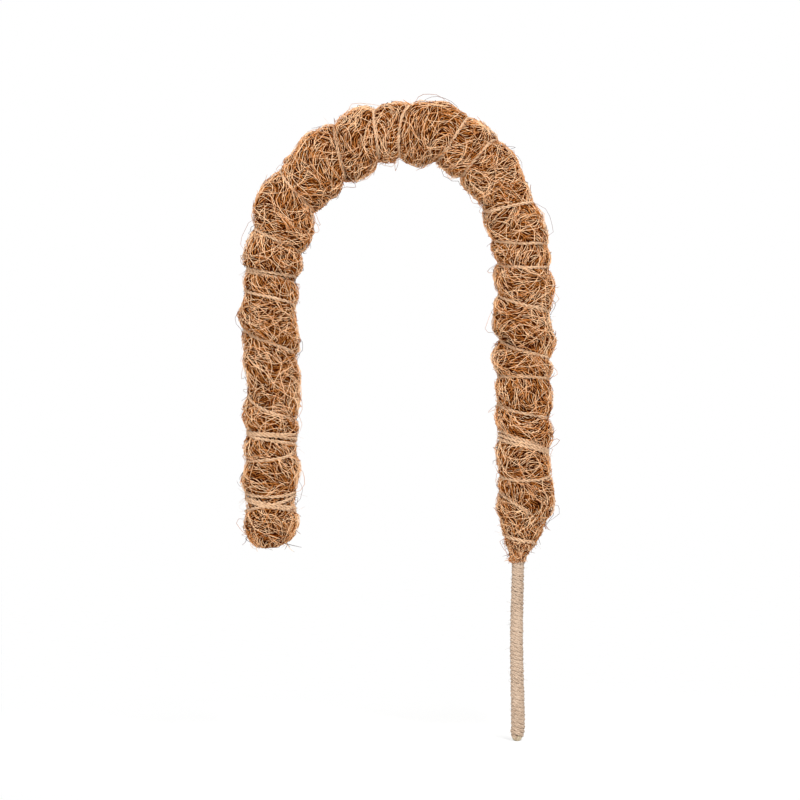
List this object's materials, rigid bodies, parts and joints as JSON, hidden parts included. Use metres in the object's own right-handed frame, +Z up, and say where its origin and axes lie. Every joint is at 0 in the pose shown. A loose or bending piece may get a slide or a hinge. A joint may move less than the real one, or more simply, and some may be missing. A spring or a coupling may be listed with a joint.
{
  "type": "bendable moss pole",
  "caption": "Bendable climbing-plant pole: a coir sleeve bound with twine on a soft wire core, bent into a cane-shaped arch above a bare twine-wound stake.",
  "frame": {"origin": "centre of the flat end of the stake, which goes deepest into the soil", "axes": "+Z up the stake, +X to the side away from the arch, and the pole bends in the XZ plane"},
  "size_m": [0.2747, 0.0513, 0.552],
  "materials": {
    "coir": "matte",
    "twine": "matte",
    "core_wire": "satin",
    "glue": "satin"
  },
  "bodies": {
    "stake": {"coir_stake": "coir", "core_stake": "core_wire", "twine_stake": "twine", "stake_strand_a": "twine", "stake_strand_b": "twine", "stake_tip_seal": "glue", "neck_knot": "twine"},
    "leg_low": {"coir_leg_low": "coir", "core_leg_low": "core_wire", "twine_leg_low": "twine"},
    "leg_high": {"coir_leg_high": "coir", "core_leg_high": "core_wire", "twine_leg_high": "twine"},
    "arch_01": {"coir_arch_01": "coir", "core_arch_01": "core_wire", "twine_arch_01": "twine"},
    "arch_02": {"coir_arch_02": "coir", "core_arch_02": "core_wire", "twine_arch_02": "twine"},
    "arch_03": {"coir_arch_03": "coir", "core_arch_03": "core_wire", "twine_arch_03": "twine"},
    "arch_04": {"coir_arch_04": "coir", "core_arch_04": "core_wire", "twine_arch_04": "twine"},
    "arch_05": {"coir_arch_05": "coir", "core_arch_05": "core_wire", "twine_arch_05": "twine"},
    "arch_06": {"coir_arch_06": "coir", "core_arch_06": "core_wire", "twine_arch_06": "twine"},
    "arch_07": {"coir_arch_07": "coir", "core_arch_07": "core_wire", "twine_arch_07": "twine"},
    "arch_08": {"coir_arch_08": "coir", "core_arch_08": "core_wire", "twine_arch_08": "twine"},
    "arch_09": {"coir_arch_09": "coir", "core_arch_09": "core_wire", "twine_arch_09": "twine"},
    "arch_10": {"coir_arch_10": "coir", "core_arch_10": "core_wire", "twine_arch_10": "twine"},
    "drop_high": {"coir_drop_high": "coir", "core_drop_high": "core_wire", "twine_drop_high": "twine"},
    "drop_low": {"coir_drop_low": "coir", "core_drop_low": "core_wire", "twine_drop_low": "twine"},
    "tip": {"coir_tip": "coir", "core_tip": "core_wire", "twine_tip": "twine", "tip_knot": "twine"}
  },
  "joints": [
    {"name": "bend_leg_low", "type": "hinge", "parent": "stake", "child": "leg_low", "pos_m": [0.00547, 0, 0.26646], "axis": [0, 1, 0], "range_deg": [-15, 15]},
    {"name": "bend_leg_high", "type": "hinge", "parent": "leg_low", "child": "leg_high", "pos_m": [0.00547, 0, 0.3363], "axis": [0, 1, 0], "range_deg": [-3, 8]},
    {"name": "bend_arch_01", "type": "hinge", "parent": "leg_high", "child": "arch_01", "pos_m": [0.00517, 0, 0.40613], "axis": [0, 1, 0], "range_deg": [-1.5, 8]},
    {"name": "bend_arch_02", "type": "hinge", "parent": "arch_01", "child": "arch_02", "pos_m": [0.00002, 0, 0.44056], "axis": [0, 1, 0], "range_deg": [-1.5, 12.5]},
    {"name": "bend_arch_03", "type": "hinge", "parent": "arch_02", "child": "arch_03", "pos_m": [-0.01247, 0, 0.47312], "axis": [0, 1, 0], "range_deg": [-1.5, 15]},
    {"name": "bend_arch_04", "type": "hinge", "parent": "arch_03", "child": "arch_04", "pos_m": [-0.03289, 0, 0.50122], "axis": [0, 1, 0], "range_deg": [-1.5, 22.5]},
    {"name": "bend_arch_05", "type": "hinge", "parent": "arch_04", "child": "arch_05", "pos_m": [-0.06243, 0, 0.51932], "axis": [0, 1, 0], "range_deg": [-1.5, 22.5]},
    {"name": "bend_arch_06", "type": "hinge", "parent": "arch_05", "child": "arch_06", "pos_m": [-0.09674, 0, 0.52476], "axis": [0, 1, 0], "range_deg": [-1.5, 20]},
    {"name": "bend_arch_07", "type": "hinge", "parent": "arch_06", "child": "arch_07", "pos_m": [-0.13084, 0, 0.51813], "axis": [0, 1, 0], "range_deg": [-1.5, 17.5]},
    {"name": "bend_arch_08", "type": "hinge", "parent": "arch_07", "child": "arch_08", "pos_m": [-0.16144, 0, 0.50152], "axis": [0, 1, 0], "range_deg": [-1.5, 16]},
    {"name": "bend_arch_09", "type": "hinge", "parent": "arch_08", "child": "arch_09", "pos_m": [-0.18625, 0, 0.47713], "axis": [0, 1, 0], "range_deg": [-1.5, 17.5]},
    {"name": "bend_arch_10", "type": "hinge", "parent": "arch_09", "child": "arch_10", "pos_m": [-0.20258, 0, 0.44643], "axis": [0, 1, 0], "range_deg": [-1.5, 14.5]},
    {"name": "bend_drop_high", "type": "hinge", "parent": "arch_10", "child": "drop_high", "pos_m": [-0.21072, 0, 0.41253], "axis": [0, 1, 0], "range_deg": [-1.5, 15]},
    {"name": "bend_drop_low", "type": "hinge", "parent": "drop_high", "child": "drop_low", "pos_m": [-0.21224, 0, 0.3428], "axis": [0, 1, 0], "range_deg": [-3, 8]},
    {"name": "bend_tip", "type": "hinge", "parent": "drop_low", "child": "tip", "pos_m": [-0.21102, 0, 0.27298], "axis": [0, 1, 0], "range_deg": [-10, 15]}
  ]
}
